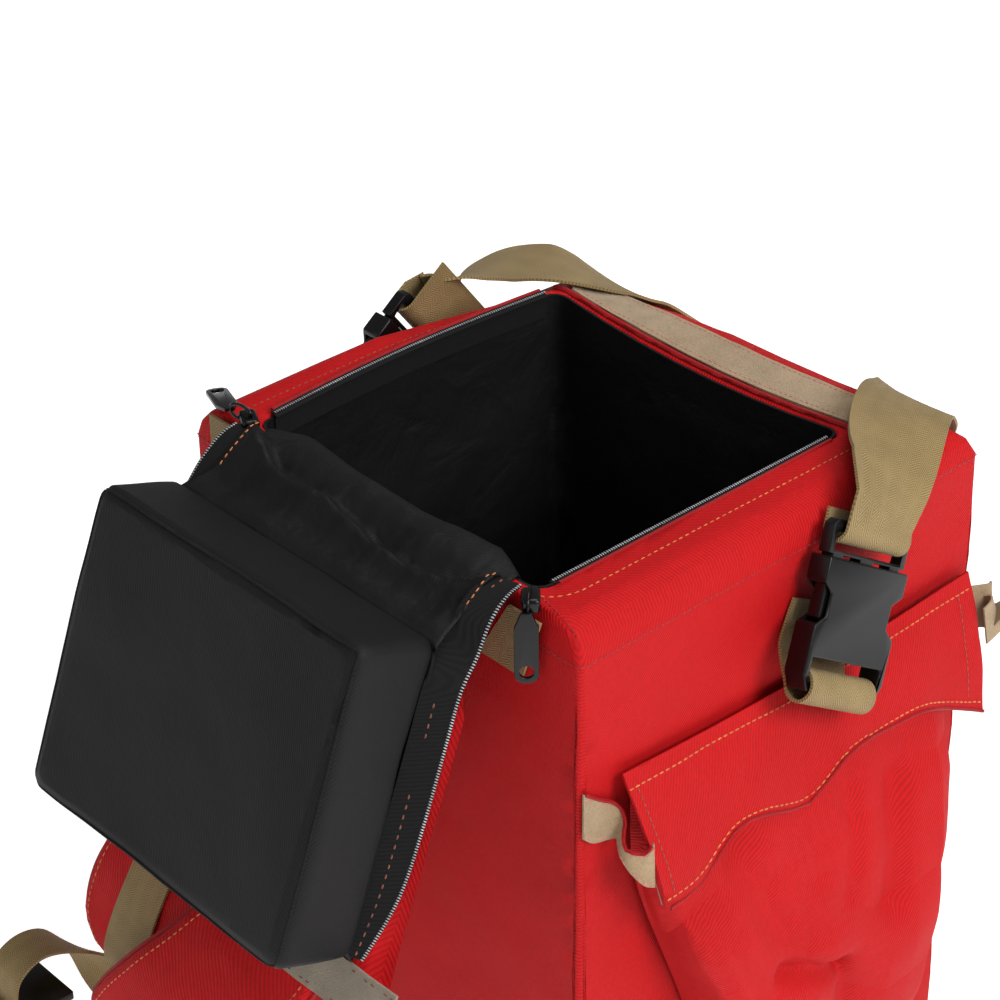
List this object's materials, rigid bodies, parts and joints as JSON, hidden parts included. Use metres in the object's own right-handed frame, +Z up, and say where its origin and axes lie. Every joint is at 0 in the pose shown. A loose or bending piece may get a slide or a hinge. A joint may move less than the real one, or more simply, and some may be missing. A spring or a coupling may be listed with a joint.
{
  "type": "padded instrument backpack",
  "caption": "Tall padded cloth backpack for a survey instrument, standing open, its zip-off padded lid hanging over the harness wall, with a flapped side pocket and a buckled carry strap.",
  "frame": {"origin": "centre of the underside of the base", "axes": "+Z up, +X to the wall with the side pocket, -Y to the harness wall that the open lid hangs over"},
  "size_m": [0.3668, 0.4607, 0.4848],
  "materials": {
    "red_cordura": "matte",
    "black_nylon": "matte",
    "tan_webbing": "matte",
    "black_plastic": "satin",
    "dark_metal": "gloss"
  },
  "bodies": {
    "pack": {"body_shell": "red_cordura", "lid_shell": "red_cordura", "pocket_body": "red_cordura", "pocket_flap": "red_cordura", "strap_left": "red_cordura", "strap_right": "red_cordura", "body_lining": "black_nylon", "body_zip_near": "black_nylon", "body_zip_far": "black_nylon", "lid_lining": "black_nylon", "lid_pad": "black_nylon", "lid_zip_near": "black_nylon", "lid_zip_far": "black_nylon", "rim_loop_strip": "tan_webbing", "lid_hook_strip": "tan_webbing", "zip_tab_near": "tan_webbing", "zip_tab_far": "tan_webbing", "carry_strap": "tan_webbing", "near_anchor_webbing": "tan_webbing", "far_anchor_webbing": "tan_webbing", "pocket_loop_strip": "tan_webbing", "pocket_side_strip": "tan_webbing", "flap_hook_strip": "tan_webbing", "strap_webbing_left": "tan_webbing", "strap_webbing_right": "tan_webbing", "adjuster_left": "tan_webbing", "adjuster_right": "tan_webbing", "webbing_tail_left": "tan_webbing", "near_buckle_socket": "black_plastic", "near_buckle_plug": "black_plastic", "far_buckle_socket": "black_plastic", "far_buckle_plug": "black_plastic", "ladder_lock_left": "black_plastic", "ladder_lock_right": "black_plastic", "tail_lock_left": "black_plastic", "zip_slider_near": "dark_metal", "zip_slider_far": "dark_metal"},
    "near_pull": {"zip_pull_near": "black_plastic"},
    "far_pull": {"zip_pull_far": "black_plastic"}
  },
  "joints": [
    {"name": "near_pull_swing", "type": "hinge", "parent": "pack", "child": "near_pull", "pos_m": [0.117, -0.1485, 0.4725], "axis": [-0.6712, -0.7413, 0], "range_deg": [0, 80]},
    {"name": "far_pull_swing", "type": "hinge", "parent": "pack", "child": "far_pull", "pos_m": [-0.1105, -0.141, 0.4805], "axis": [0.4349, 0.9003, -0.0202], "range_deg": [0, 80]}
  ]
}
